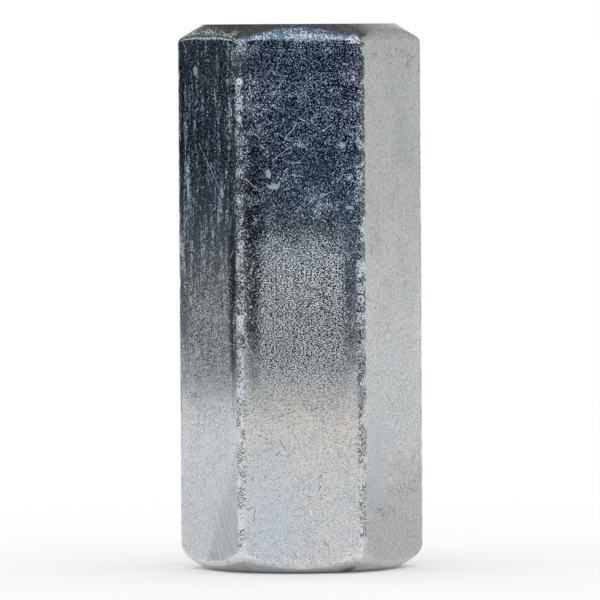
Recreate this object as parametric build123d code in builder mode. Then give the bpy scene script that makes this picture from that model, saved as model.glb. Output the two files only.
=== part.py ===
"""Hex coupling nut: one long hexagonal nut that joins two threaded rods end to end.

It is cut from hexagonal bar with softly rolled corners. Both ends are turned to a shallow cone, so each
flat ends in a crown-shaped curve, and a flat ring is left round the hole to bear on. The hole runs right
through, is drilled for a coarse 1/2-13 thread and is countersunk at both mouths. The fine thread itself is
not cut here: the wall is the tapping drill's, which is where the thread's crests lie.

Frame: +Z along the thread, origin at the centre of the lower end face, two flats facing +Y and -Y.
Lengths are in millimetres and angles in degrees.
"""

import os
from math import cos, radians, tan

from build123d import *

INCH = 25.4

# Hexagonal bar
across_flats = 11 / 16 * INCH
length = 1.75 * INCH
bar_corner_radius = 0.8

# Turned ends
end_face_inset = 0.87  # how far the flat end ring stops short of the flats
least_end_ring_width = 0.4  # flat kept round the countersink where the hole leaves less room than that
crown_angle = 30.0  # slope of the turned cone, from the end face
crown_edge_radius = 0.4  # softened edge between the cone and the flats, from tumbling and plating
end_ring_edge_radius = 0.2  # softened edge between the cone and the end ring

# Tapped hole, 1/2-13
thread_major_diameter = 0.5 * INCH
threads_per_inch = 13
thread_engagement = 0.78  # share of the full thread height that the tapping drill leaves
countersink_clearance = 0.25  # countersink's radius past the thread's roots
countersink_angle = 45.0  # slope of the countersink, from the end face

# Worked out from the driving dimensions
thread_pitch = INCH / threads_per_inch
full_thread_height = cos(radians(30)) * thread_pitch * 3 / 4
bore_radius = thread_major_diameter / 2 - full_thread_height * thread_engagement
countersink_radius = thread_major_diameter / 2 + countersink_clearance
countersink_depth = (countersink_radius - bore_radius) * tan(radians(countersink_angle))
bar_radius = across_flats / 2 / cos(radians(30))
bar_corner_reach = bar_radius - (1 / cos(radians(30)) - 1) * bar_corner_radius
end_ring_radius = max(across_flats / 2 - end_face_inset, countersink_radius + least_end_ring_width)
blank_radius = bar_radius + 1.0  # anything outside the bar's sharp corners
crown_drop = (blank_radius - end_ring_radius) * tan(radians(crown_angle))


def end_ring_corners(sketch):
    """The profile's corners where the cones meet the end rings."""
    return sketch.vertices().filter_by(lambda v: abs(v.X - end_ring_radius) < 1e-6)


with BuildPart() as coupling_nut:
    # The bar, a hexagon with rolled corners, cut to length
    with BuildSketch(Plane.XY) as bar_section:
        RegularPolygon(radius=across_flats / 2, side_count=6, major_radius=False)
        fillet(bar_section.vertices(), radius=bar_corner_radius)
    extrude(amount=length)

    # Both ends turned: what stays is inside a cylinder with a cone at each end
    with BuildSketch(Plane.XZ) as turned_profile:
        with BuildLine():
            Polyline(
                (0, 0),
                (end_ring_radius, 0),
                (blank_radius, crown_drop),
                (blank_radius, length - crown_drop),
                (end_ring_radius, length),
                (0, length),
                close=True,
            )
        make_face()
        fillet(end_ring_corners(turned_profile), radius=end_ring_edge_radius)
    revolve(axis=Axis.Z, mode=Mode.INTERSECT)

    # The crown-shaped edges, where the cones cross the flats and the rolled corners
    crown_edges = coupling_nut.edges().filter_by(
        lambda e: e.geom_type not in (GeomType.LINE, GeomType.CIRCLE)
    )
    fillet(crown_edges, radius=crown_edge_radius)

    # Tapping-drill hole with a countersink at each mouth
    with BuildSketch(Plane.XZ):
        with BuildLine():
            Polyline(
                (0, 0),
                (countersink_radius, 0),
                (bore_radius, countersink_depth),
                (bore_radius, length - countersink_depth),
                (countersink_radius, length),
                (0, length),
                close=True,
            )
        make_face()
    revolve(axis=Axis.Z, mode=Mode.SUBTRACT)

coupling_nut.part.label = "coupling_nut"

os.makedirs("parts", exist_ok=True)
export_step(coupling_nut.part, "parts/coupling_nut.step")

print(f"bore radius {bore_radius:.3f}, threaded wall {length - 2 * countersink_depth:.3f}")
print(f"end ring {countersink_radius:.3f} to {end_ring_radius:.3f}, corner reach {bar_corner_reach:.3f}")
print(f"volume {coupling_nut.part.volume:.0f} mm3")
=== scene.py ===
"""Looks for the hex coupling nut: its cut thread, worn edges and zinc plating, on a pale floor in soft light.

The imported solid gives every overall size. One mesh, nut_body, stands for it: the same hexagon, cones and
countersinks, with the thread cut, the crown edges rolled over and small knocks along the corners.
Sizes below are in millimetres unless they say otherwise, and the mesh is scaled to metres at the end.
"""

import math
from types import SimpleNamespace

import bmesh
import bpy
import numpy as np
from mathutils import Matrix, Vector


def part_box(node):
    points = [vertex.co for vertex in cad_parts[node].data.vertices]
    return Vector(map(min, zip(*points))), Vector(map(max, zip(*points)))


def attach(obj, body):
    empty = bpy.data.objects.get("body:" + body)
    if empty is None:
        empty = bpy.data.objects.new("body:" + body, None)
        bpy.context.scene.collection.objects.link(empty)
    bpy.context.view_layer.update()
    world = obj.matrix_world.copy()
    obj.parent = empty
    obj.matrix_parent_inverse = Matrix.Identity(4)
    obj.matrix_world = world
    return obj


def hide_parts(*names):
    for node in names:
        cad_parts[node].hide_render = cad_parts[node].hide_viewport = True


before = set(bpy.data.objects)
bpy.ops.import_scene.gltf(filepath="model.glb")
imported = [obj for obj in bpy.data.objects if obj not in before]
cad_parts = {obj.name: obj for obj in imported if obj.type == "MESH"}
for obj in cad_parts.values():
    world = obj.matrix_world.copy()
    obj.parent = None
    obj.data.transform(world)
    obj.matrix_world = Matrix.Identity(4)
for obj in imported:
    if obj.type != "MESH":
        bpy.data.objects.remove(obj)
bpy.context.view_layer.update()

MM = 0.001
TAN30, COS30 = math.tan(math.radians(30)), math.cos(math.radians(30))

# Overall sizes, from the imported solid
low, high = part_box("coupling_nut")
LENGTH = (high.z - low.z) / MM
APOTHEM = high.y / MM
CORNER_REACH = high.x / MM
CORNER_RADIUS = (APOTHEM / COS30 - CORNER_REACH) / (1 / COS30 - 1)

# Turned ends and tapped hole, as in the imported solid
INCH = 25.4
RING_RADIUS = APOTHEM - 0.87
RING_EDGE = 0.2
BORE = 5.36
PITCH = INCH / 13
THREAD_ROOT = 0.5 * INCH / 2
COUNTERSINK = THREAD_ROOT + 0.25

# Wear of the mesh
TOP_CROWN_FOOT = 1.36  # how far below the upper end face its rolled crown edge ends
LOW_CROWN_ROLL = 0.42  # length of flat that the lower crown edge takes, and as much again at the corners
EASED_FROM = 3.3  # distance from a flat's middle at which its margin starts to ease off
EASED_BY = 0.045
RIPPLES, KNOCKS_PER_CORNER, DENTS = 14, 34, 70

# How finely the mesh is cut: steps of each corner and flat, rows of the sides, and points of each turn
ARC_STEPS, FLAT_STEPS = 12, 20
BODY_ROWS = 225
BORE_COLUMNS = 112


# ------------------------------------------------ outline


def bar_outline():
    """Points round the hexagonal bar, close together on its rolled corners."""
    centre = (APOTHEM - CORNER_RADIUS) / COS30
    arc = np.radians(np.linspace(-30, 30, ARC_STEPS + 1))
    along = np.linspace(0, 1, FLAT_STEPS + 1)[1:-1]
    along = along - 0.13 * np.sin(2 * np.pi * along)
    points = []
    for k in range(6):
        here, there = math.radians(60 * k), math.radians(60 * k + 60)
        mid = centre * np.array([math.cos(here), math.sin(here)])
        bend = mid + CORNER_RADIUS * np.stack([np.cos(here + arc), np.sin(here + arc)], 1)
        start = centre * np.array([math.cos(there), math.sin(there)])
        start = start + CORNER_RADIUS * np.array([math.cos(there - arc[-1]), math.sin(there - arc[-1])])
        flat = bend[-1] + along[:, None] * (start - bend[-1])
        points += [bend, flat]
    return np.concatenate(points)


def smooth_noise(rng, angle, orders, size):
    """A gentle wave round the nut, the same at 0 and 360 degrees."""
    wave = sum(rng.normal() * np.cos(k * angle) + rng.normal() * np.sin(k * angle) for k in orders)
    return size * wave / math.sqrt(len(orders))


def end_profile(reach, roll):
    """Rows from the edge of the flat end ring out and along the cone, then round the crown edge on to the
    flats: radius and depth below the end face. roll is the length of flat that the crown edge takes."""
    drop = (reach - RING_RADIUS) * TAN30
    slope = (reach - RING_RADIUS) / COS30
    lead = RING_EDGE * math.tan(math.radians(15))
    roll = np.minimum(roll, slope - lead - 0.03)
    radius, depth = [], []
    for t in np.radians([0, 10, 20, 30]):
        radius.append(np.full_like(reach, RING_RADIUS - lead + RING_EDGE * math.sin(t)))
        depth.append(np.full_like(reach, RING_EDGE * (1 - math.cos(t))))
    end_radius, end_depth = reach - roll * COS30, drop - roll / 2
    for t in (0.2, 0.5, 0.8):
        radius.append(radius[3] + t * (end_radius - radius[3]))
        depth.append(depth[3] + t * (end_depth - depth[3]))
    curve = roll / TAN30
    for t in np.radians(np.linspace(60, 0, 11)):
        radius.append(reach - curve + curve * math.cos(t))
        depth.append(drop + roll - curve * math.sin(t))
    return np.array(radius), np.array(depth)


def outer_rows(rng):
    """The outside, row by row from the lower end ring to the upper one."""
    outline = bar_outline()
    reach = np.linalg.norm(outline, axis=1)
    angle = np.arctan2(outline[:, 1], outline[:, 0])
    to_corner = (reach - APOTHEM) / (CORNER_REACH - APOTHEM)
    top_roll = TOP_CROWN_FOOT - (reach - RING_RADIUS) * TAN30
    top_roll = top_roll + smooth_noise(rng, angle, range(5, 40), 0.035)
    low_roll = LOW_CROWN_ROLL + LOW_CROWN_ROLL * to_corner**2
    low_roll = low_roll + smooth_noise(rng, angle, range(5, 40), 0.04)
    top_radius, top_depth = end_profile(reach, np.maximum(top_roll, 0.36))
    low_radius, low_depth = end_profile(reach, np.maximum(low_roll, 0.16))
    share = np.linspace(0, 1, BODY_ROWS)[1:-1, None]
    low_z, top_z = low_depth[-1], LENGTH - top_depth[-1]
    radius = np.concatenate([low_radius, reach + 0 * share, top_radius[::-1]])
    z = np.concatenate([low_depth, low_z + share * (top_z - low_z), LENGTH - top_depth[::-1]])
    return np.stack([radius * np.cos(angle), radius * np.sin(angle), z], 2)


def row_normals(place):
    """Outward directions of a closed belt of rows."""
    across = np.roll(place, -1, 1) - np.roll(place, 1, 1)
    up = np.gradient(place, axis=0)
    normal = np.cross(across, up)
    return normal / np.linalg.norm(normal, axis=2, keepdims=True)


def worn(place, rng):
    """The outside with its wear, always inwards: margins of the flats eased off towards the corners, slow
    waves left by rolling, knocks along the corners and a few dents."""
    normal = row_normals(place)
    angle = np.arctan2(place[..., 1], place[..., 0])
    z = place[..., 2]
    side = np.mod(angle, math.pi / 3) - math.pi / 6
    sideways = APOTHEM * np.tan(np.clip(side, -0.53, 0.53))
    margin = np.clip((np.abs(sideways) - EASED_FROM) / 1.5, 0, 1)
    inwards = EASED_BY * margin**2
    for _ in range(RIPPLES):
        k = rng.normal(size=3) * np.array([0.5, 0.5, 0.35])
        inwards += 0.0022 * (1 + np.sin(place @ k + rng.uniform(0, 2 * math.pi)))
    knocks = []
    for corner in range(6):
        turn = math.radians(60 * corner)
        for _ in range(KNOCKS_PER_CORNER):
            off = turn + rng.normal() * 0.022
            spot = np.array([CORNER_REACH * math.cos(off), CORNER_REACH * math.sin(off), 0])
            spot[2] = rng.uniform(1.2, LENGTH - 1.2)
            knocks.append((spot, rng.uniform(0.14, 0.42), rng.uniform(0.015, 0.06), rng.uniform(1, 2.4)))
    for _ in range(DENTS):
        turn = rng.uniform(0, 2 * math.pi)
        spot = np.array([9 * math.cos(turn), 9 * math.sin(turn), rng.uniform(1.5, LENGTH - 1.5)])
        knocks.append((spot, rng.uniform(0.2, 0.5), rng.uniform(0.004, 0.014), rng.uniform(0.7, 1.5)))
    for spot, size, depth, tall in knocks:
        away = (place - spot) / np.array([size, size, size * tall])
        near = (away**2).sum(2)
        inwards += depth * np.where(near < 1, (1 - near) ** 2, 0)
    ends = np.clip(np.minimum(z, LENGTH - z) / 1.2, 0, 1)
    body = np.clip((np.hypot(place[..., 0], place[..., 1]) - RING_RADIUS) / 0.6, 0, 1)
    return place - normal * (inwards * np.maximum(ends, 0.25) * body)[..., None]


# ------------------------------------------------ thread


def thread_rows():
    """The tapped hole's wall, as rows that climb one pitch per turn, cut off at both end faces, and how many
    rows a pitch has."""
    depth = THREAD_ROOT - BORE
    flank, root = depth * TAN30, PITCH / 8
    crest = PITCH - 2 * flank - root
    steps = [(0, 0), (0.5 * crest, 0), (crest, 0)]
    for t in (0.25, 0.5, 0.75, 0.93):
        steps.append((crest + t * flank, t * depth))
    steps.append((crest + flank + root / 2, depth))
    for t in (0.93, 0.75, 0.5, 0.25):
        steps.append((PITCH - t * flank, t * depth))
    turns = math.ceil(LENGTH / PITCH) + 1
    climb, depths = np.array(steps).T
    height = np.concatenate([climb + PITCH * (n - 1) for n in range(turns + 1)])
    radius = BORE + np.tile(depths, turns + 1)
    share = np.arange(BORE_COLUMNS) / BORE_COLUMNS
    z = height[:, None] + PITCH * share
    mouth = COUNTERSINK - np.minimum(z, LENGTH - z)
    radius = np.maximum(radius[:, None] + 0 * z, np.minimum(mouth, COUNTERSINK))
    z = np.clip(z, 0, LENGTH)
    angle = 2 * math.pi * share
    return np.stack([radius * np.cos(angle), radius * np.sin(angle), z], 2), len(steps)


# ------------------------------------------------ mesh


def belt_faces(rows, columns, first, lift=0):
    """Faces between neighbouring rows all the way round. With a lift, the last column joins that many rows
    higher, as a helix does."""
    faces = []
    for row in range(rows - 1):
        for column in range(columns):
            after, rise = (column + 1, 0) if column + 1 < columns else (0, lift)
            if row + 1 + rise < rows:
                here, there = first + row * columns + column, first + (row + rise) * columns + after
                faces.append((here, there, there + columns, here + columns))
    return faces


def stitch(outer, inner, outer_angle, inner_angle):
    """Triangles across the flat end ring, between two loops with different numbers of points."""
    faces, i, j = [], 0, 0
    n, m = len(outer), len(inner)
    while i < n or j < m:
        if j == m or (i < n and outer_angle[i] <= inner_angle[j]):
            faces.append((outer[i % n], outer[(i + 1) % n], inner[j % m]))
            i += 1
        else:
            faces.append((outer[i % n], inner[(j + 1) % m], inner[j % m]))
            j += 1
    return faces


def nut_mesh():
    """The whole nut: its worn outside, its tapped hole, and the flat end rings between them."""
    rng = np.random.default_rng(1213)
    place = worn(outer_rows(rng), rng)
    columns = place.shape[1]
    # a loop just inside each end ring's outer edge and one just outside the countersink keep it flat
    outline_angle = np.arctan2(place[0, :, 1], place[0, :, 0])
    rings = []
    for z in (0.0, LENGTH):
        for r in (RING_RADIUS - 0.2, COUNTERSINK + 0.1):
            x, y = r * np.cos(outline_angle), r * np.sin(outline_angle)
            rings.append(np.stack([x, y, np.full(columns, z)], 1))
    belt = np.concatenate([[rings[1], rings[0]], place, [rings[2], rings[3]]])
    bore, lift = thread_rows()
    vertices = np.concatenate([belt.reshape(-1, 3), bore.reshape(-1, 3)])
    faces = belt_faces(len(belt), columns, 0)
    first = belt.shape[0] * columns
    faces += [f[::-1] for f in belt_faces(len(bore), BORE_COLUMNS, first, lift)]
    # the lowest and highest bore points of each column are its two mouth loops
    low_loop = first + np.arange(BORE_COLUMNS)
    top_loop = first + (len(bore) - 1) * BORE_COLUMNS + np.arange(BORE_COLUMNS)
    turn = np.mod(np.arctan2(belt[0, :, 1], belt[0, :, 0]), 2 * math.pi)
    order = np.argsort(turn)
    bore_turn = 2 * math.pi * (np.arange(BORE_COLUMNS) + 1) / BORE_COLUMNS
    outer_turn = np.append(turn[order][1:], 2 * math.pi + turn[order][0])
    faces += [f[::-1] for f in stitch(order.tolist(), low_loop.tolist(), outer_turn, bore_turn)]
    top = ((len(belt) - 1) * columns + order).tolist()
    faces += stitch(top, top_loop.tolist(), outer_turn, bore_turn)
    mesh = bpy.data.meshes.new("nut_body")
    mesh.from_pydata(vertices * MM, [], faces)
    return mesh


def close_mesh(mesh):
    """Merges the points that the end faces cut off, and keeps hard edges on the thread and mouths."""
    bm = bmesh.new()
    bm.from_mesh(mesh)
    bmesh.ops.remove_doubles(bm, verts=bm.verts, dist=2e-6)
    bmesh.ops.dissolve_degenerate(bm, dist=1e-7, edges=bm.edges)
    loose = [v for v in bm.verts if not v.link_faces]
    bmesh.ops.delete(bm, geom=loose, context="VERTS")
    bm.to_mesh(mesh)
    bm.free()
    mesh.polygons.foreach_set("use_smooth", [True] * len(mesh.polygons))
    mesh.set_sharp_from_angle(angle=math.radians(32))


mesh = nut_mesh()
close_mesh(mesh)
nut = bpy.data.objects.new("nut_body", mesh)
bpy.context.scene.collection.objects.link(nut)


# ------------------------------------------------ material


class Tree:
    """A node tree with short calls. Values may be numbers, colours or other nodes' sockets."""

    def __init__(self, tree):
        self.tree = tree
        tree.nodes.clear()

    def add(self, kind, inputs=None, out=0, **settings):
        node = self.tree.nodes.new("ShaderNode" + kind)
        for name, value in settings.items():
            setattr(node, name, value)
        for name, value in (inputs or {}).items():
            if isinstance(value, bpy.types.NodeSocket):
                self.tree.links.new(value, node.inputs[name])
            else:
                node.inputs[name].default_value = value
        return node.outputs[out] if len(node.outputs) else None

    def math(self, operation, a, b=0.0, c=0.0, clamp=False):
        return self.add("Math", {0: a, 1: b, 2: c}, operation=operation, use_clamp=clamp)

    def times(self, value, *others):
        """The product of all the values."""
        for other in others:
            value = self.math("MULTIPLY", value, other)
        return value

    def plus(self, a, b):
        return self.math("ADD", a, b)

    def inverse(self, mask):
        """1 where the mask is 0, and 0 where it is 1."""
        return self.math("SUBTRACT", 1.0, mask)

    def vector(self, operation, a, b=(0, 0, 0), out=0):
        name = "Scale" if operation == "SCALE" else 1
        return self.add("VectorMath", {0: a, name: b}, out=out, operation=operation)

    def noise(self, at, scale, detail, rough, out=0):
        """Noise of so many features a millimetre: its value, or with out=1 its colour."""
        values = {"Vector": at, "Scale": scale, "Detail": detail, "Roughness": rough}
        return self.add("TexNoise", values, out=out)

    def between(self, value, low, high, to_low=0.0, to_high=1.0):
        """value from low to high, eased, as to_low to to_high."""
        values = {0: value, 1: low, 2: high, 3: to_low, 4: to_high}
        return self.add("MapRange", values, interpolation_type="SMOOTHSTEP")

    def mix(self, share, a, b, blend="MIX"):
        return self.add("Mix", {0: share, 6: a, 7: b}, out=2, data_type="RGBA", blend_type=blend)

    def ramp(self, value, stops, mode="LINEAR"):
        """Colours along value, which goes from 0 to 1."""
        node = self.tree.nodes.new("ShaderNodeValToRGB")
        self.tree.links.new(value, node.inputs[0])
        node.color_ramp.interpolation = mode
        ramp = node.color_ramp.elements
        while len(ramp) < len(stops):
            ramp.new(0.5)
        for element, (at, colour) in zip(ramp, stops):
            element.position = at
            element.color = (*colour, 1)
        return node.outputs[0]


def new_material(name):
    """A material, and its node tree to fill."""
    material = bpy.data.materials.new(name)
    material.use_nodes = True
    return material, Tree(material.node_tree)


def millimetres(t):
    """A point's place in its object's own frame, in millimetres."""
    return t.vector("SCALE", t.add("TexCoord", out=3), 1 / MM)


def on_flats(t, place):
    """Where a point lies on the six flats: which flat, how far to the right of its middle, how high, and how
    far from the axis."""
    x, y, z = (t.add("SeparateXYZ", {0: place}, out=k) for k in range(3))
    angle = t.math("ARCTAN2", y, x)
    flat = t.math("FLOOR", t.math("DIVIDE", angle, math.pi / 3))
    middle = t.math("MULTIPLY_ADD", flat, math.pi / 3, math.pi / 6)
    side = t.times(t.math("TANGENT", t.math("SUBTRACT", angle, middle)), APOTHEM)
    return flat, side, z, t.math("SQRT", t.math("MULTIPLY_ADD", x, x, t.times(y, y)))


def scratches(t, at, cell, length, width, share, seed):
    """Short lines strewn over the surface, one in a share of the cells, each at its own angle. length and
    width are measured from a line's middle to where it has faded out."""
    at = t.vector("ADD", t.vector("SCALE", at, 1 / cell), (seed, 2.7 * seed, 0))
    settings = {"voronoi_dimensions": "2D", "feature": "F1"}
    node = {"Vector": at, "Scale": 1.0, "Randomness": 0.9}
    chance = t.add("TexVoronoi", node, out=1, **settings)
    spot = t.add("TexVoronoi", node, out=2, **settings)
    first, second, third = (t.add("SeparateColor", {0: chance}, out=k) for k in range(3))
    turn = {"Vector": t.vector("SUBTRACT", at, spot), "Angle": t.times(first, math.pi)}
    line_up = t.add("VectorRotate", turn, rotation_type="Z_AXIS")
    along, across = (t.add("SeparateXYZ", {0: line_up}, out=k) for k in range(2))
    line = t.between(t.math("ABSOLUTE", across), 0.3 * width / cell, width / cell, 1.0, 0.0)
    end = t.between(t.math("ABSOLUTE", along), 0.5 * length / cell, length / cell, 1.0, 0.0)
    some = t.math("LESS_THAN", second, share)
    depth = t.math("MULTIPLY_ADD", third, 0.7, 0.3)
    return t.times(t.times(line, end), t.times(some, depth))


def blot(t, at, middle, size, ragged=0.0, soft=0.3):
    """A spot on the unrolled flats: 1 inside, 0 outside. ragged breaks up its outline. The unrolled place has
    1 as its third part, so a dot product can take the middle away and scale in one step."""
    (wide, tall), (x, y) = size, middle
    across = t.vector("DOT_PRODUCT", at, (1 / wide, 0.0, -x / wide), out=1)
    up = t.vector("DOT_PRODUCT", at, (0.0, 1 / tall, -y / tall), out=1)
    away = t.math("SQRT", t.math("MULTIPLY_ADD", across, across, t.times(up, up)))
    return t.between(t.plus(away, ragged), 1 - soft, 1 + soft, 1.0, 0.0)


def crater(t, place, angle, height, size):
    """A small crater on a corner, at an angle in degrees: its bright rim, a painted highlight, and its dark
    floor, painted shade.
    """
    turn = math.radians(angle)
    middle = (CORNER_REACH * math.cos(turn), CORNER_REACH * math.sin(turn), height)
    away = t.math("DIVIDE", t.vector("DISTANCE", place, middle, out=1), size)
    away = t.plus(away, t.math("MULTIPLY_ADD", t.noise(place, 4.5, 3.0, 0.6), 1.6, -0.8))
    floor = t.between(away, 0.35, 0.6, 1.0, 0.0)
    return t.math("SUBTRACT", t.between(away, 0.85, 1.15, 0.8, 0.0), floor, clamp=True), floor


def stroke(t, at, start, end, width):
    """A thin mark on the unrolled flats, from one point to another: 1 on it, 0 away from it."""
    length = math.dist(start, end)
    mx, my = ((a + b) / 2 for a, b in zip(start, end))
    cx, cy = ((b - a) / length for a, b in zip(start, end))
    along = t.vector("DOT_PRODUCT", at, (cx, cy, -cx * mx - cy * my), out=1)
    across = t.vector("DOT_PRODUCT", at, (-cy, cx, cy * mx - cx * my), out=1)
    past_end = t.math("SUBTRACT", t.math("ABSOLUTE", along), length / 2)
    away = t.math("MAXIMUM", t.math("ABSOLUTE", across), past_end)
    return t.between(away, 0.35 * width, width, 1.0, 0.0)


def most(t, masks):
    """The largest of several masks. A generator's are each made just before they are compared, which keeps
    the shader small."""
    result = 0.0
    for mask in masks:
        result = t.math("MAXIMUM", result, mask)
    return result


# The unrolled outside has flat k's middle at k times this, so that marks on one flat can't reach the next.
# The three flats towards the camera are -3, -2 and -1.
FLAT_SPACING = 23.0
LEFT, FRONT, RIGHT = -3 * FLAT_SPACING, -2 * FLAT_SPACING, -1 * FLAT_SPACING

CURL_SOFTNESS = 0.03  # how much of the noise's range the outline of a curl or gap takes
STROKE_WIDTH = 0.045

# Marks and films on those flats: places along the unrolled outside and up from the lower end. First the pale
# spots, by place and size
PALE_SPOTS = [
    # The first two, on the front flat's left corner, are painted highlights on nicks there.
    ((FRONT - 4.95, 39.9), (0.3, 0.3)),
    ((FRONT - 4.95, 36.8), (0.25, 0.28)),
    ((FRONT - 2.1, 31.3), (0.42, 0.22)),
    ((FRONT - 2.55, 32.4), (0.2, 0.3)),
    ((FRONT + 3.5, 34.6), (0.3, 0.3)),
    ((FRONT + 4.05, 32.0), (0.16, 0.17)),
    ((FRONT + 4.0, 29.6), (0.3, 0.16)),
    ((LEFT - 1.8, 40.7), (0.36, 0.38)),
    ((LEFT + 2.4, 30.8), (0.25, 0.42)),
]
# Scratches given one by one, from one place to another
STROKES = [
    ((FRONT - 1.7, 31.6), (FRONT - 1.05, 32.75)),
    ((FRONT - 2.3, 33.5), (FRONT - 0.6, 34.6)),
    ((FRONT - 1.3, 33.3), (FRONT + 0.1, 33.3)),
    ((FRONT - 3.4, 34.9), (FRONT - 2.7, 34.1)),
    ((FRONT - 1.8, 35.6), (FRONT - 0.7, 35.1)),
    ((FRONT - 4.8, 32.4), (FRONT - 3.5, 31.2)),
    ((FRONT + 2.5, 32.3), (FRONT + 2.8, 32.6)),
    ((FRONT - 2.2, 40.8), (FRONT - 1.9, 40.2)),
    ((FRONT + 2.2, 41.9), (FRONT + 2.6, 42.2)),
    ((FRONT + 4.0, 39.6), (FRONT + 4.5, 40.6)),
    ((FRONT + 2.9, 38.6), (FRONT + 3.4, 39.2)),
    ((LEFT - 1.3, 34.8), (LEFT + 2.0, 31.1)),
    ((LEFT - 3.6, 35.6), (LEFT - 3.5, 31.2)),
    ((LEFT - 3.0, 33.9), (LEFT - 3.1, 29.6)),
    ((LEFT - 3.9, 31.0), (LEFT - 3.8, 27.9)),
    ((FRONT - 1.3, 13.7), (FRONT - 0.2, 13.75)),
    ((FRONT + 0.6, 13.25), (FRONT + 1.35, 13.5)),
    ((FRONT - 1.9, 12.7), (FRONT - 0.6, 13.3)),
    ((FRONT - 3.6, 11.5), (FRONT - 2.5, 10.8)),
    ((FRONT + 1.95, 8.3), (FRONT + 1.6, 8.2)),
    ((FRONT + 1.6, 8.2), (FRONT + 1.5, 7.5)),
    ((FRONT - 4.5, 5.3), (FRONT - 3.95, 5.45)),
    ((RIGHT - 0.3, 29.4), (RIGHT + 1.0, 32.0)),
    ((RIGHT - 2.6, 30.8), (RIGHT - 2.3, 29.8)),
]
# Colour films: place, size, colour, share and how milky
FILMS = [
    ((FRONT + 4.0, 27.0), (0.75, 7.5), (0.32, 0.47, 0.64, 1), 0.6, 0.012),
    ((FRONT + 1.9, 32.5), (2.0, 3.6), (0.36, 0.50, 0.70, 1), 0.55, 0.008),
    ((FRONT - 3.9, 35.0), (0.9, 9.5), (0.60, 0.50, 0.63, 1), 0.5, 0.006),
    ((FRONT + 3.9, 40.0), (0.7, 3.0), (0.58, 0.50, 0.64, 1), 0.5, 0.006),
    ((FRONT - 0.2, 38.5), (2.2, 3.0), (0.42, 0.57, 0.66, 1), 0.5, 0.0),
    ((FRONT - 0.6, 11.6), (2.8, 2.6), (0.64, 0.63, 0.57, 1), 0.5, 0.0),
    ((FRONT + 3.7, 12.4), (1.3, 2.6), (0.67, 0.60, 0.57, 1), 0.45, 0.0),
    ((FRONT - 2.6, 6.5), (2.2, 4.5), (0.52, 0.57, 0.62, 1), 0.5, 0.0),
    ((RIGHT - 3.0, 9.5), (1.2, 4.5), (0.54, 0.58, 0.62, 1), 0.6, 0.0),
]
# Painted shade: dark margins that stand in for dark reflections beside the corners, and a dark wedge at the
# foot:
# place, size, colour and share
PAINTED_SHADES = [
    ((LEFT + 4.1, 22.5), (0.55, 7.0), (0.03, 0.035, 0.045, 1), 0.9),
    ((FRONT - 3.75, 26.0), (0.75, 8.5), (0.025, 0.022, 0.03, 1), 0.85),
    ((FRONT + 3.95, 27.0), (0.55, 6.5), (0.16, 0.22, 0.34, 1), 0.45),
    ((FRONT + 4.4, 0.3), (0.9, 0.2), (0.05, 0.05, 0.06, 1), 0.8),
]
# Where the scale is thinner, and where it is thicker: place, size and how much
BARE = [
    ((FRONT - 0.3, 40.9), (3.4, 0.8), 0.06),
    ((FRONT + 2.8, 37.4), (0.8, 0.9), 0.05),
    ((FRONT + 2.0, 33.2), (1.9, 1.3), 0.10),
    ((FRONT - 1.8, 33.3), (1.9, 1.2), 0.10),
    ((LEFT - 0.9, 33.0), (0.75, 4.6), 0.13),
    ((LEFT + 0.7, 34.6), (0.6, 3.0), 0.08),
    ((LEFT - 0.5, 30.2), (1.6, 2.4), 0.07),
    ((LEFT + 0.7, 40.7), (0.9, 0.8), 0.08),
    ((LEFT - 3.2, 40.9), (0.8, 0.7), 0.08),
    ((LEFT + 4.2, 28.0), (0.7, 4.0), 0.10),
]
THICK = [
    ((FRONT + 1.3, 29.9), (1.6, 0.9), 0.05),
    ((FRONT + 4.0, 29.9), (0.7, 2.6), 0.07),
    ((FRONT + 4.1, 32.8), (0.6, 0.9), 0.06),
    ((FRONT - 0.3, 34.9), (1.5, 0.7), 0.05),
    ((FRONT + 0.1, 34.8), (0.45, 0.45), 0.12),
    ((FRONT - 3.9, 34.3), (0.8, 4.6), 0.06),
    ((FRONT - 0.2, 37.6), (3.0, 1.2), 0.035),
    ((FRONT + 3.2, 39.6), (1.5, 0.8), 0.07),
    ((FRONT + 3.0, 42.2), (1.6, 0.4), 0.07),
    ((LEFT + 3.2, 42.2), (1.7, 0.8), 0.08),
    ((LEFT + 3.9, 39.0), (0.8, 2.6), 0.07),
    ((LEFT + 2.8, 29.4), (1.2, 1.2), 0.05),
    ((LEFT - 3.4, 33.0), (0.6, 5.0), 0.05),
]
# Small craters on the two near corners, each with a painted highlight on its rim and painted shade in its
# floor:
# angle, height and size
CHIPS = [
    (-119.5, 39.8, 0.26),
    (-120.5, 36.9, 0.24),
    (-119, 20.8, 0.24),
    (-61, 24.1, 0.2),
    (-60.5, 22.2, 0.32),
]
# Glints on the crown edges, painted highlights: place, size, colour and share
GLINTS = [
    ((FRONT + 4.5, 43.2), (0.62, 0.36), (0.93, 0.96, 1.0, 1), 0.9),
    ((FRONT - 4.75, 42.75), (0.42, 0.62), (0.80, 0.88, 0.98, 1), 0.75),
    ((FRONT + 1.2, 43.3), (2.9, 0.3), (0.90, 0.95, 1.0, 1), 0.6),
    ((LEFT + 3.9, 43.7), (0.5, 0.25), (0.92, 0.90, 0.62, 1), 0.6),
]
# Smears of dirt: place and size
SMEARS = [
    ((RIGHT + 0.6, 42.2), (2.2, 0.45)),
    ((RIGHT + 2.9, 41.5), (0.7, 0.8)),
    ((RIGHT - 3.3, 41.9), (1.0, 0.35)),
    ((RIGHT + 1.6, 6.4), (2.4, 0.7)),
    ((RIGHT - 1.6, 5.0), (1.8, 0.6)),
    ((RIGHT + 3.6, 8.0), (0.9, 1.6)),
]
# The rubbed triangle at the foot of the left flat: the height at which its slanting edge meets the flat's
# right margin, how far that margin is from the middle, and how far sideways the edge goes for each mm down
RUBBED_TOP, RUBBED_REACH, RUBBED_SLOPE = 10.9, 4.9, 0.55
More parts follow.
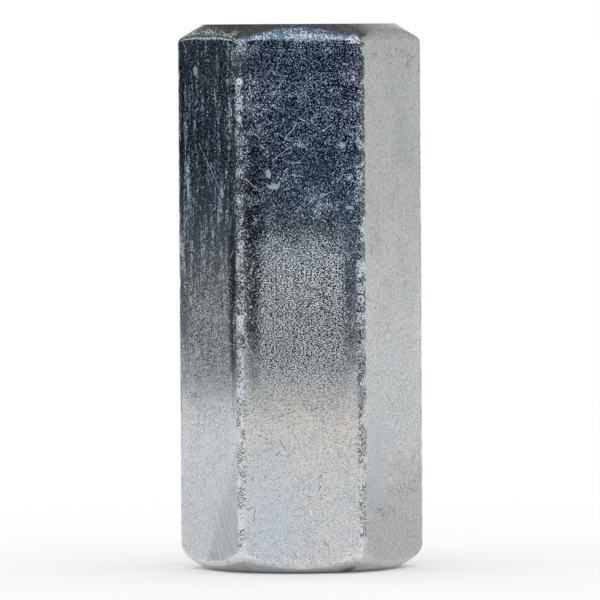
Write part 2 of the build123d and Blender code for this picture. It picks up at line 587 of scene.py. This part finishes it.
# The bare zinc's colours, which change slowly over the nut
ZINC_COLOURS = [
    (0.36, (0.54, 0.56, 0.58)),
    (0.47, (0.57, 0.58, 0.58)),
    (0.54, (0.59, 0.588, 0.575)),
    (0.62, (0.572, 0.57, 0.58)),
    (0.70, (0.55, 0.565, 0.58)),
]


class Skin:
    """Where a point lies on the nut, and the masks that several layers of the plating share."""

    def __init__(self, t):
        self.place = place = millimetres(t)
        self.flat, self.side, self.z, self.radius = on_flats(t, place)
        across = t.math("MULTIPLY_ADD", self.flat, FLAT_SPACING, self.side)
        self.unrolled = t.add("CombineXYZ", {0: across, 1: self.z, 2: 1.0})
        # the same place, wavering by up to 0.3 mm, so that what is drawn there has no straight outline
        bend = t.vector("SUBTRACT", t.noise(place, 0.9, 3.0, 0.5, out=1), (0.5, 0.5, 0.5))
        bent = {0: bend, 1: (0.6, 0.6, 0), 2: self.unrolled}
        self.drawn = t.add("VectorMath", bent, operation="MULTIPLY_ADD")
        self.beside = t.math("ABSOLUTE", self.side)
        self.slow = t.noise(place, 0.22, 2.0, 0.5)

        # which flat: the three near ones, every second one, and all but the left and front ones
        self.left, self.front, self.right = (t.math("COMPARE", self.flat, k, 0.1) for k in (-3.0, -2.0, -1.0))
        self.odd = t.math("COMPARE", t.math("PINGPONG", self.flat, 1.0), 1.0, 0.1)
        self.elsewhere = t.math("GREATER_THAN", self.flat, -1.5)

        # streaks drawn along every second flat, haze, and unevenness for the outlines of marks
        self.streaks = t.noise(t.vector("MULTIPLY", place, (1.0, 1.0, 0.16)), 1.7, 4.0, 0.6)
        self.haze = t.add("Mix", {0: self.odd, 2: t.noise(place, 0.55, 4.0, 0.62), 3: self.streaks})
        self.ragged = t.math("MULTIPLY_ADD", t.noise(place, 1.1, 3.0, 0.6), 1.2, -0.6)
        self.high = t.math("MULTIPLY_ADD", self.ragged, 2.2, self.z)

        # edges: the rolled corners, and the crown edges by how far the surface leans
        self.lean = t.math("ABSOLUTE", t.add("SeparateXYZ", {0: t.add("NewGeometry", out=1)}, out=2))
        self.outside = t.between(self.radius, 7.6, 7.9)
        self.sides = t.times(t.between(self.lean, 0.7, 0.8, 1.0, 0.0), self.outside)
        crown = t.times(t.between(self.lean, 0.04, 0.14), t.between(self.lean, 0.60, 0.70, 1.0, 0.0))
        self.crown = t.times(crown, self.outside)
        self.nibbled = t.math("MULTIPLY_ADD", t.noise(place, 3.5, 3.0, 0.6), 1.6, -0.8)
        corner = t.between(t.math("MULTIPLY_ADD", self.nibbled, 0.4, self.beside), 4.46, 4.72)
        self.edge = t.math("MAXIMUM", t.times(corner, self.sides), self.crown)


def curled_scale(t, skin):
    """The patch of scale half way up each flat: where it lies, its pale curls and the dark gaps between."""
    # on the hidden flats the patch lies higher or lower, and all but the front one have less of it
    shift = t.times(t.math("SUBTRACT", skin.slow, 0.5), t.times(skin.elsewhere, 60.0))
    uneven = t.plus(t.math("MULTIPLY_ADD", skin.ragged, 4.5, skin.z), shift)
    fading = t.between(uneven, t.math("MULTIPLY_ADD", skin.odd, -4.0, 25.0), 29.5, 1.0, 0.0)
    inside = t.between(t.math("MULTIPLY_ADD", skin.ragged, 1.1, skin.beside), 2.8, 4.3, 1.0, 0.0)
    hidden = t.math("MULTIPLY_ADD", skin.right, 0.35, t.times(skin.elsewhere, 0.5))
    shown = t.inverse(t.math("MAXIMUM", t.times(skin.odd, 0.3), hidden))
    shown = t.times(inside, skin.sides, shown)
    patch = t.times(t.between(uneven, 11.0, 17.5), fading, shown)

    # one noise makes both: curls where it is high, gaps where it is low
    weave = t.noise(t.vector("MULTIPLY", skin.place, (1.0, 1.0, 1.75)), 7.8, 1.0, 0.5)
    fewest = t.between(patch, 0.0, 1.0, 0.70, 0.518)
    fewest = t.plus(fewest, t.between(skin.streaks, 0.4, 0.6, 0.014, -0.008))
    curls = t.between(weave, fewest, t.plus(fewest, CURL_SOFTNESS))
    most_gap = t.between(uneven, 11.5, 18.0, 0.35, 0.510)
    gaps = t.between(weave, t.math("SUBTRACT", most_gap, CURL_SOFTNESS), most_gap, 1.0, 0.0)
    gaps = t.times(t.times(gaps, fading), t.times(shown, t.between(uneven, 8.0, 11.0)))
    return SimpleNamespace(patch=patch, curls=curls, gaps=gaps)


def speck_level(t, skin):
    """How high the noise must be to make a speck, which is low where scale is thick, and a streaky veil."""
    z = skin.z
    level = t.between(skin.haze, 0.38, 0.62, 0.70, 0.535)
    level = t.plus(level, t.between(z, 24.0, 36.0, -0.045, 0.0))
    level = t.plus(level, t.between(z, 39.6, 41.8, 0.02, 0.075))
    veil = t.between(t.noise(t.vector("MULTIPLY", skin.place, (1.0, 1.0, 0.2)), 1.5, 4.0, 0.65), 0.44, 0.62)
    veil = t.times(veil, skin.odd)
    level = t.math("MULTIPLY_ADD", veil, -0.02, level)
    level = t.plus(level, t.between(z, 8.0, 15.0, 0.08, 0.0))
    for sign, places in ((1, BARE), (-1, THICK)):
        for at, size, much in places:
            here = blot(t, skin.drawn, at, size, skin.ragged, 0.5)
            level = t.math("MULTIPLY_ADD", here, sign * much, level)
    streaky = t.times(skin.odd, t.between(skin.streaks, 0.4, 0.6, 0.07, -0.04))
    return t.plus(level, streaky), veil


def rolled_scale(t, skin):
    """All the dull scale: curls in the patch, and specks in drifts above it with bright grains and nicks
    among them. Its strength fades it out towards the foot."""
    scale = curled_scale(t, skin)
    level, scale.veil = speck_level(t, skin)
    scale.dots = t.noise(skin.place, 10.8, 1.0, 0.5)
    specks = t.between(scale.dots, level, t.plus(level, 0.13))
    drift = t.between(t.noise(skin.place, 2.1, 2.0, 0.6), 0.38, 0.62, 0.2, 1.0)
    grains = t.between(t.noise(skin.place, 8.8, 1.0, 0.5), 0.65, 0.72)
    grains = t.times(grains, t.between(level, 0.58, 0.70, 1.0, 0.35))
    nicks = scratches(t, skin.drawn, cell=0.38, length=0.17, width=0.04, share=0.45, seed=1.7)
    nicked = t.times(drift, t.between(level, 0.56, 0.67, 1.0, 0.0))
    specks = most(t, [t.times(specks, drift), grains, t.times(nicks, nicked)])
    scale.specks = t.times(specks, skin.sides)
    paint = t.math("MAXIMUM", t.times(scale.specks, t.inverse(scale.patch)), scale.curls)
    scale.paint = t.times(paint, t.inverse(t.times(skin.right, 0.8)))
    scale.strength = t.between(skin.high, 11.0, 18.0, 0.1, 1.0)
    return scale


def wear_marks(t, skin):
    """Scratches of three lengths and the listed ones, pits, and pale spots."""
    short = scratches(t, skin.drawn, cell=0.9, length=0.3, width=0.045, share=0.22, seed=3.1)
    lines = scratches(t, skin.drawn, cell=2.6, length=0.8, width=0.04, share=0.3, seed=8.6)
    hair = scratches(t, skin.drawn, cell=7.0, length=2.6, width=0.028, share=0.25, seed=6.9)
    hair = t.times(hair, 0.6)
    drawn_marks = most(t, (stroke(t, skin.drawn, a, b, STROKE_WIDTH) for a, b in STROKES))
    broken = t.between(t.noise(skin.place, 4.0, 2.0, 0.6), 0.38, 0.55, 0.15, 0.9)
    marks = most(t, [short, lines, hair, t.times(drawn_marks, broken)])
    pits = t.between(t.noise(skin.place, 7.5, 1.0, 0.5), 0.62, 0.72)
    spots = most(t, (blot(t, skin.drawn, at, size, skin.nibbled, 0.25) for at, size in PALE_SPOTS))
    return marks, pits, spots


def relief(t, skin, scale, pits):
    """Heights in millimetres: scale, clots on the edges, slow waves, pits, and lathe marks on the ends."""
    clots = t.between(t.noise(skin.place, 5.0, 2.0, 0.65), 0.47, 0.6)
    lathe_marks = t.noise(t.add("CombineXYZ", {0: skin.radius}), 6.0, 2.0, 0.6)
    lathe_marks = t.times(lathe_marks, t.between(skin.lean, 0.8, 0.86))
    thickness = t.between(scale.patch, 0.0, 1.0, 0.006, 0.014)
    raised = t.math("MAXIMUM", scale.curls, t.times(t.between(scale.dots, 0.60, 0.72), 0.8))
    height = t.times(raised, scale.strength, thickness)
    height = t.math("MULTIPLY_ADD", t.times(clots, skin.edge), 0.012, height)
    height = t.math("MULTIPLY_ADD", t.noise(skin.place, 0.9, 2.0, 0.5), 0.004, height)
    height = t.math("MULTIPLY_ADD", pits, -0.01, height)
    height = t.math("MULTIPLY_ADD", lathe_marks, 0.012, height)
    return t.add("Bump", {"Strength": 1.0, "Distance": MM, "Height": height})


def bare_zinc(t, skin):
    """The zinc's own colour: a bluish grey with a grain that is stronger higher up, and most so on the left
    and front flats."""
    z = skin.z
    colour = t.ramp(skin.slow, ZINC_COLOURS)
    grain = t.between(t.noise(skin.place, 2.6, 4.0, 0.7), 0.3, 0.7, 0.93, 1.08)
    fine = t.noise(t.vector("MULTIPLY", skin.place, (1.0, 1.0, 1.3)), 7.8, 2.0, 0.6)
    fine = t.between(fine, 0.32, 0.68, -1.0, 1.0)
    contrast = t.math("MULTIPLY_ADD", skin.elsewhere, 0.7, t.times(skin.right, 0.5))
    contrast = t.times(contrast, t.between(z, 10.0, 16.0, 0.0, -0.17))
    contrast = t.plus(contrast, t.between(z, 10.5, 13.5, 0.25, 0.44))
    contrast = t.times(contrast, t.between(skin.lean, 0.6, 0.8, 1.0, 0.5))
    grain = t.times(grain, t.math("MULTIPLY_ADD", fine, contrast, 1.0))
    return t.mix(1.0, colour, grain, blend="MULTIPLY")


def filmed_zinc(t, skin):
    """The zinc's colour under its faint straw, violet and blue films and the painted shade of its dark
    margins, and how milky the films are.
    """
    colour = bare_zinc(t, skin)
    milk = t.between(skin.haze, 0.45, 0.7, 0.0, 0.006)
    blued = t.times(t.between(skin.z, 25.0, 31.0, 0.0, 0.6), t.plus(skin.left, skin.front))
    blued = t.times(t.times(blued, skin.outside), t.between(skin.lean, 0.55, 0.78, 1.0, 0.0))
    colour = t.mix(blued, colour, (0.38, 0.52, 0.68, 1))
    for at, size, tint, share, milkiness in FILMS:
        film = blot(t, skin.drawn, at, size, t.times(skin.ragged, 0.8), 0.65)
        colour = t.mix(t.times(film, share), colour, tint)
        milk = t.math("MULTIPLY_ADD", film, milkiness, milk)
    # painted shade: the dark margins beside the corners and the dark wedge at the foot
    for at, size, tint, share in PAINTED_SHADES:
        painted_shade = blot(t, skin.drawn, at, size, t.times(skin.ragged, 0.7), 0.55)
        colour = t.mix(t.times(painted_shade, share), colour, tint)
    return colour, milk


def with_rubbed_foot(t, skin, colour):
    """A rubbed triangle at the foot of the left flat, finely hatched."""
    turn = {"Vector": skin.unrolled, "Angle": math.radians(-28)}
    leaning = t.add("VectorRotate", turn, rotation_type="Z_AXIS")
    hatch = t.noise(t.vector("MULTIPLY", leaning, (5.0, 0.5, 0.0)), 1.0, 2.0, 0.6)
    past = t.math("MULTIPLY_ADD", skin.z, -RUBBED_SLOPE, RUBBED_SLOPE * RUBBED_TOP - RUBBED_REACH)
    rubbed = t.plus(skin.side, past)
    rubbed = t.between(t.math("MULTIPLY_ADD", skin.ragged, 0.5, rubbed), -0.3, 0.7)
    rubbed = t.times(rubbed, t.times(skin.left, t.between(skin.z, 0.8, 11.0, 0.9, 0.3)))
    grey = t.mix(t.between(hatch, 0.4, 0.62), (0.38, 0.39, 0.38, 1), (0.53, 0.54, 0.54, 1))
    return t.mix(rubbed, colour, grey)


def with_pit_shade_and_dirt(t, skin, colour, pits):
    """Dark pits, their darkness painted shade, and smears of dirt on the right flat."""
    smear = t.between(t.noise(skin.place, 2.9, 5.0, 0.7), 0.49, 0.60)
    smears = (blot(t, skin.drawn, at, size, t.times(skin.ragged, 1.2), 0.4) for at, size in SMEARS)
    dirt = most(t, smears)
    # the pits darkened as painted shade, more on the right flat and less low down
    pitted = t.times(pits, t.between(skin.z, 10.0, 16.0, 0.8, 1.0))
    pitted = t.times(pitted, t.math("MULTIPLY_ADD", skin.right, 0.5, 1.0))
    dark = t.times(t.math("MAXIMUM", pitted, t.times(smear, dirt)), 0.45)
    return t.mix(dark, colour, (0.10, 0.10, 0.11, 1))


def edge_highlight_and_shade(t, skin):
    """The knocked corners and crown edges, with painted highlights and painted shade: where they are bright,
    and their colour, which is bluish white on near black above and greys below, with the dark lighter behind."""
    z, crown = skin.z, skin.crown
    more = t.between(t.noise(skin.place, 0.7, 2.0, 0.5), 0.4, 0.6, -0.08, 0.06)
    more = t.plus(more, t.between(z, 6.0, 20.0, -0.06, 0.0))
    more = t.plus(more, t.between(z, 27.0, 33.0, 0.0, 0.05))
    on_crown = t.times(crown, t.between(skin.lean, 0.3, 0.6, 0.05, 0.11))
    more = t.math("MULTIPLY_ADD", on_crown, t.between(z, 6.0, 20.0), more)
    bright = t.between(t.math("SUBTRACT", t.noise(skin.place, 8.5, 1.5, 0.6), more), 0.45, 0.56)
    # painted dark reflection on the edges: near black above, greys below, lighter behind
    dark = t.mix(t.between(z, 6.0, 24.0), (0.14, 0.145, 0.15, 1), (0.01, 0.012, 0.016, 1))
    dark_crown = t.mix(t.between(z, 6.0, 24.0), (0.48, 0.485, 0.49, 1), (0.08, 0.13, 0.20, 1))
    behind = t.between(t.add("SeparateXYZ", {0: skin.place}, out=1), -6.0, -3.0)
    dark = t.mix(t.times(behind, 0.85), dark, (0.30, 0.305, 0.31, 1))
    dark = t.mix(crown, dark, dark_crown)
    # painted highlight colour: grey below, bluish white above, straw and sky on the upper crown
    light = t.mix(t.between(z, 6.0, 24.0), (0.80, 0.81, 0.81, 1), (0.68, 0.76, 0.84, 1))
    film = t.between(t.noise(skin.place, 1.6, 1.0, 0.5), 0.52, 0.68)
    straw_or_sky = t.mix(film, (0.80, 0.91, 1.0, 1), (0.96, 0.94, 0.80, 1))
    light = t.mix(t.times(crown, t.between(z, 30.0, 40.0, 0.0, 0.8)), light, straw_or_sky)
    return bright, t.mix(bright, dark, light)


def left_lip(t, skin):
    """The left flat's upper crown edge, painted as a dark reflection: the whole of it, its cyan lower line
    and its straw sparks, which are painted highlights.
    """
    lip = t.times(skin.crown, skin.left, t.between(skin.z, 30.0, 40.0))
    spark = t.between(t.noise(skin.place, 8.5, 1.0, 0.5), 0.52, 0.60)
    dashed = t.between(t.noise(skin.place, 7.0, 2.0, 0.6), 0.42, 0.55, 0.15, 1.0)
    cyan = t.times(lip, dashed, t.between(skin.lean, 0.15, 0.28, 1.0, 0.0))
    straw = t.times(lip, spark, t.between(skin.lean, 0.3, 0.42))
    return lip, cyan, straw


def with_craters(t, skin, colour):
    """The colour with the small craters in it, a painted highlight on each rim and painted shade in each
    floor, and a mask of their bright rims.
    """
    rims = 0.0
    for chip in CHIPS:
        rim, floor = crater(t, skin.place, *chip)
        colour = t.mix(rim, colour, (0.92, 0.93, 0.93, 1))
        colour = t.mix(floor, colour, (0.22, 0.28, 0.38, 1))
        rims = t.math("MAXIMUM", rims, rim)
    return colour, rims


def with_glints(t, skin, colour):
    """The colour with the glints on the crown edges, which are painted highlights, and a mask of them."""
    flecked = t.between(t.noise(skin.place, 7.0, 2.0, 0.65), 0.46, 0.57, 0.05, 1.0)
    glints = 0.0
    for at, size, tint, share in GLINTS:
        glint = t.times(blot(t, skin.unrolled, at, size, skin.nibbled, 0.5), flecked)
        glint = t.times(glint, share, skin.outside)
        colour = t.mix(glint, colour, tint)
        glints = t.math("MAXIMUM", glints, glint)
    return colour, glints


def roughness(t, skin, scale, dull_marks):
    """Near a mirror, duller in the haze, under scale and marks, on the edges and inside the hole."""
    rough = t.math("MULTIPLY_ADD", t.between(skin.haze, 0.45, 0.7), 0.05, 0.06)
    dull = t.math("MAXIMUM", t.times(scale.specks, 0.7), dull_marks)
    rough = t.math("MULTIPLY_ADD", dull, 0.42, rough)
    rough = t.math("MULTIPLY_ADD", scale.veil, 0.05, rough)
    rough = t.math("MULTIPLY_ADD", skin.edge, 0.08, rough)
    return t.plus(rough, t.math("MULTIPLY_ADD", skin.outside, -0.18, 0.18))


def zinc():
    """Bright zinc over rolled steel: curls and specks of dull scale on a mirror, denser in a patch half
    way up each flat, with scratches, pits, faint colour films and knocked, brighter edges. Painted highlights
    and shade lie on the edges, craters and left crown edge, painted shade in the pits and dark margins, and a
    painted contact shadow at the foot."""
    material, t = new_material("zinc_plate")
    skin = Skin(t)
    z, crown, right = skin.z, skin.crown, skin.right
    scale = rolled_scale(t, skin)
    marks, pits, spots = wear_marks(t, skin)
    bump = relief(t, skin, scale, pits)

    # colour, from the zinc up: scale, painted bluer higher up as a reflection, marks with painted light and
    # shade, pits with painted shade and dirt, edges with painted highlights and shade, spots, craters with a
    # painted highlight and shade, what is drawn on the crown edges, a painted dark reflection and highlights,
    # and a painted contact shadow at the foot
    colour, milk = filmed_zinc(t, skin)
    colour = t.mix(t.times(scale.gaps, 0.92), colour, (0.02, 0.023, 0.03, 1))
    # the scale painted bluer higher up, a painted reflection of the blue around it there
    scale_colour = t.mix(t.between(z, 22.0, 29.0), (0.84, 0.87, 0.91, 1), (0.66, 0.82, 1.0, 1))
    colour = t.mix(t.times(scale.paint, scale.strength), colour, scale_colour)
    # scratches painted pale where the flats show dark, and dark on the right flat and low down, where they
    # show pale: painted light and shade on the marks
    reflects_pale_here = t.math("MAXIMUM", right, t.between(z, 13.0, 17.0, 1.0, 0.0))
    marks_light_and_shade = t.mix(reflects_pale_here, (0.80, 0.86, 0.92, 1), (0.16, 0.17, 0.18, 1))
    colour = t.mix(t.times(marks, 0.8), colour, marks_light_and_shade)
    colour = with_rubbed_foot(t, skin, colour)
    colour = with_pit_shade_and_dirt(t, skin, colour, pits)
    # the knocked edges take painted highlights and painted shade, less of them on the right flat's crown
    edge_highlight, edge_light_and_shade = edge_highlight_and_shade(t, skin)
    knocked = t.times(skin.edge, t.math("MULTIPLY_ADD", t.times(crown, right), -0.7, 0.85))
    colour = t.mix(knocked, colour, edge_light_and_shade)
    colour = t.mix(t.times(spots, 0.8), colour, (0.50, 0.57, 0.61, 1))
    # small craters: a painted highlight on each rim and painted shade in each floor
    colour, crater_highlights = with_craters(t, skin, colour)
    # the left flat's upper crown edge: a painted dark reflection, with a painted cyan highlight line and
    # straw sparks
    lip, cyan, straw = left_lip(t, skin)
    colour = t.mix(t.times(lip, 0.8), colour, (0.06, 0.065, 0.07, 1))
    colour = t.mix(cyan, colour, (0.80, 1.0, 1.0, 1))
    colour = t.mix(straw, colour, (0.86, 0.90, 0.70, 1))
    # glints: painted highlights on the crown edges
    colour, glints = with_glints(t, skin, colour)
    # painted contact shadow: a thin dark line round the foot of the outside
    foot = t.times(t.between(z, 0.02, 0.4, 0.75, 0.0), skin.outside)
    colour = t.mix(foot, colour, (0.06, 0.06, 0.065, 1))

    rough = roughness(t, skin, scale, t.math("MAXIMUM", marks, spots))

    # what is chalky rather than metallic, the painted highlights too, so that they stay bright
    chalk = t.times(t.times(scale.paint, scale.strength), t.between(z, 17.0, 27.0, 0.5, 0.88))
    chalky_marks = t.math("MAXIMUM", t.times(marks, 0.45), t.times(spots, 0.3))
    chalky_marks = t.times(chalky_marks, t.inverse(reflects_pale_here))
    edge_highlight_matt = t.times(t.times(edge_highlight, skin.edge), t.math("MULTIPLY_ADD", crown, 0.2, 0.6))
    edge_highlight_matt = t.times(edge_highlight_matt, t.between(z, 12.0, 24.0, 0.15, 1.0))
    edge_highlight_matt = t.times(edge_highlight_matt, t.inverse(t.math("MAXIMUM", lip, t.times(crown, right))))
    end_ring = t.times(t.between(skin.lean, 0.985, 0.995), 0.35)
    painted_highlights_matt = [t.times(crater_highlights, 0.5), t.times(straw, 0.8), t.times(cyan, 0.8), glints]
    chalk = most(t, [chalk, end_ring, chalky_marks, edge_highlight_matt, *painted_highlights_matt])
    metallic = t.math("SUBTRACT", 1.0, t.plus(chalk, milk), clamp=True)
    values = {"Base Color": colour, "Metallic": metallic, "Roughness": rough, "Normal": bump}
    t.add("OutputMaterial", {"Surface": t.add("BsdfPrincipled", values)})
    return material


mesh.materials.append(zinc())
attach(nut, "root")
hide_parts("coupling_nut")


# ------------------------------------------------ floor and lights

# The tent: a round wall, a roof and an apron on the floor, seen only in reflections
TENT_RADIUS, TENT_TOP = 62.0, 120.0
TENT_SIDES = 96
APRON_INNER_RADIUS, APRON_HEIGHT = 10.23, 0.3
FLOOR_REACH = 4000

# What the tent's wall shows in front, on the left, on the right and between the first two: height and colour
FRONT_WALL = [
    (0, (0.93, 0.95, 0.98)),
    (9, (0.96, 0.96, 0.94)),
    (11.1, (0.84, 0.83, 0.81)),
    (12.8, (0.71, 0.72, 0.72)),
    (14.6, (0.43, 0.45, 0.46)),
    (17, (0.145, 0.157, 0.17)),
    (25, (0.09, 0.1, 0.115)),
    (27, (0.034, 0.05, 0.072)),
    (32, (0.007, 0.017, 0.038)),
    (44, (0.003, 0.011, 0.03)),
    (53, (0.003, 0.01, 0.027)),
    (57, (1.4, 1.5, 1.6)),
    (75, (1.0, 1.15, 1.3)),
    (95, (0.4, 0.52, 0.68)),
    (120, (0.35, 0.45, 0.6)),
]
LEFT_WALL = [
    (0, (0.84, 0.88, 0.93)),
    (8, (0.98, 1.01, 1.04)),
    (10.9, (0.9, 0.93, 0.96)),
    (12.7, (0.5, 0.53, 0.56)),
    (14.5, (0.29, 0.32, 0.34)),
    (17, (0.16, 0.185, 0.2)),
    (22, (0.1, 0.12, 0.135)),
    (28, (0.035, 0.052, 0.062)),
    (32, (0.005, 0.013, 0.022)),
    (55, (0.004, 0.012, 0.02)),
    (58, (0.95, 1.05, 1.08)),
    (66, (0.9, 0.96, 0.96)),
    (71, (0.14, 0.15, 0.14)),
    (90, (0.1, 0.1, 0.1)),
    (120, (0.1, 0.1, 0.1)),
]
RIGHT_WALL = [
    (0, (0.68, 0.69, 0.7)),
    (4, (0.8, 0.81, 0.82)),
    (8, (0.88, 0.9, 0.91)),
    (17, (0.93, 0.94, 0.93)),
    (23, (0.83, 0.835, 0.815)),
    (28, (0.74, 0.742, 0.72)),
    (36, (0.73, 0.74, 0.72)),
    (50, (0.68, 0.69, 0.66)),
    (75, (0.6, 0.6, 0.6)),
    (90, (0.5, 0.5, 0.49)),
    (105, (0.28, 0.28, 0.28)),
    (120, (0.2, 0.2, 0.2)),
]
CORNER_STRIP = [
    (0, (0.93, 0.95, 0.98)),
    (12, (0.93, 0.95, 0.98)),
    (20, (0.66, 0.69, 0.72)),
    (34, (0.38, 0.42, 0.47)),
    (54, (0.36, 0.4, 0.45)),
    (60, (1.1, 1.2, 1.3)),
]


def emission(name, paint):
    """A glowing material. paint makes its colour from the place in millimetres."""
    material, t = new_material(name)
    shine = t.add("Emission", {"Color": paint(t, millimetres(t)), "Strength": 1.0})
    t.add("OutputMaterial", {"Surface": shine})
    return material


def stage_object(name, vertices, faces, material):
    """A part of the studio, from points in millimetres."""
    made = bpy.data.meshes.new(name)
    made.from_pydata([tuple(x * MM for x in v) for v in vertices], [], faces)
    made.materials.append(material)
    item = bpy.data.objects.new(name, made)
    bpy.context.scene.collection.objects.link(item)
    return item


def reflected_card(name, vertices, faces, paint):
    """A part of the studio that lights nothing and that only reflections see."""
    card = stage_object(name, vertices, faces, emission(name, paint))
    card.visible_camera = card.visible_diffuse = card.visible_shadow = False
    card.visible_transmission = card.visible_volume_scatter = False


def wall_paint(t, place):
    """Dark on the left and in front above a pale lower part, light grey on the right and behind."""
    x, y, z = (t.add("SeparateXYZ", {0: place}, out=k) for k in range(3))
    around = t.math("ARCTAN2", y, x)
    height = t.math("DIVIDE", z, TENT_TOP)

    def by_height(colours):
        return t.ramp(height, [(mm / TENT_TOP, colour) for mm, colour in colours])

    # angle from the front, positive to the right
    turned = t.math("WRAP", t.plus(around, math.pi / 2), math.pi, -math.pi)

    def by_angle(value, start, end):
        return t.between(value, math.radians(start), math.radians(end))

    to_right = by_angle(turned, 36, 56)
    to_left = by_angle(turned, -84, -96)
    strip = t.times(by_angle(turned, -22, -34), by_angle(turned, -92, -84))
    far = by_angle(t.math("ABSOLUTE", turned), 150, 165)
    right = by_height(RIGHT_WALL)
    paint = t.mix(strip, t.mix(to_right, by_height(FRONT_WALL), right), by_height(CORNER_STRIP))
    paint = t.mix(to_left, paint, by_height(LEFT_WALL))
    paint = t.mix(far, paint, right)
    # a dusky part high up behind the left, which the cone's left part shows
    dusk = t.times(by_angle(turned, -150, -156), t.between(height, 54 / TENT_TOP, 62 / TENT_TOP))
    dusk = t.times(dusk, by_angle(turned, -178, -172))
    return t.mix(dusk, paint, (0.07, 0.08, 0.09, 1))


def roof_paint(t, place):
    """Pale blue in front, dark behind."""
    y = t.add("SeparateXYZ", {0: place}, out=1)
    ends = [(0, (0.6, 0.72, 0.85)), (1, (0.1, 0.105, 0.115))]
    return t.ramp(t.between(y, -50.0, 8.0), ends, "EASE")


def add_tent():
    turns = [2 * math.pi * k / TENT_SIDES for k in range(TENT_SIDES)]

    def circle(radius, height):
        return [(radius * math.cos(a), radius * math.sin(a), height) for a in turns]

    after = [(k + 1) % TENT_SIDES for k in range(TENT_SIDES)]
    belt = [(k, after[k], TENT_SIDES + after[k], TENT_SIDES + k) for k in range(TENT_SIDES)]
    top = circle(TENT_RADIUS, TENT_TOP)
    reflected_card("tent_wall", circle(TENT_RADIUS, 0) + top, belt, wall_paint)
    reflected_card("tent_roof", top, [tuple(range(TENT_SIDES))], roof_paint)
    apron = circle(APRON_INNER_RADIUS, APRON_HEIGHT) + circle(TENT_RADIUS, APRON_HEIGHT)
    reflected_card("tent_apron", apron, belt, wall_paint)


def add_floor():
    """A pale matt floor, lifted a little towards white where the camera or a reflection sees it."""
    material, t = new_material("floor")
    matte = t.add("BsdfDiffuse", {"Color": (0.8, 0.8, 0.8, 1)})
    rays = ("Is Camera Ray", "Is Glossy Ray", "Is Transmission Ray")
    camera_ray, glossy_ray, transmission_ray = (t.add("LightPath", out=ray) for ray in rays)
    seen = t.plus(camera_ray, glossy_ray)
    seen = t.math("ADD", seen, transmission_ray, clamp=True)
    lift = t.add("Emission", {"Color": (1, 1, 1, 1), "Strength": t.times(seen, 0.2)})
    t.add("OutputMaterial", {"Surface": t.add("AddShader", {0: matte, 1: lift})})
    r = FLOOR_REACH
    stage_object("floor", [(-r, -r, 0), (r, -r, 0), (r, r, 0), (-r, r, 0)], [(0, 1, 2, 3)], material)


def add_world():
    """Plain white light from everywhere."""
    world = bpy.data.worlds.new("studio")
    world.use_nodes = True
    bpy.context.scene.world = world
    t = Tree(world.node_tree)
    t.add("OutputWorld", {"Surface": t.add("Background", {"Color": (1, 1, 1, 1), "Strength": 1.0})})


add_tent()
add_floor()
add_world()


# ------------------------------------------------ camera

CAMERA_AT = (-0.042, -635.7, 44.30)
LOOKING_DOWN, LEANING, TURNED = math.radians(2.02), math.radians(0.357), math.radians(0.19)
FOCAL_LENGTH, SENSOR_WIDTH = 466.67, 36.0


def add_camera():
    """A long lens at the height of the nut's top, looking slightly down, with the nut leaning a little."""
    forward = np.array([0, math.cos(LOOKING_DOWN), -math.sin(LOOKING_DOWN)])
    level, upright = np.array([1.0, 0, 0]), np.array([0, math.sin(LOOKING_DOWN), math.cos(LOOKING_DOWN)])
    right = level * math.cos(LEANING) - upright * math.sin(LEANING)
    up = level * math.sin(LEANING) + upright * math.cos(LEANING)
    turn = np.array([
        [math.cos(TURNED), math.sin(TURNED), 0],
        [-math.sin(TURNED), math.cos(TURNED), 0],
        [0, 0, 1],
    ])
    data = bpy.data.cameras.new("camera")
    data.lens, data.sensor_width = FOCAL_LENGTH, SENSOR_WIDTH
    data.clip_start, data.clip_end = 0.05, 20.0
    camera = bpy.data.objects.new("camera", data)
    bpy.context.scene.collection.objects.link(camera)
    matrix = np.eye(4)
    matrix[:3, 0], matrix[:3, 1], matrix[:3, 2] = turn @ right, turn @ up, turn @ -forward
    matrix[:3, 3] = turn @ (np.array(CAMERA_AT) * MM)
    camera.matrix_world = Matrix(matrix.tolist())
    bpy.context.scene.camera = camera


add_camera()
bpy.context.scene.view_settings.view_transform = "Standard"
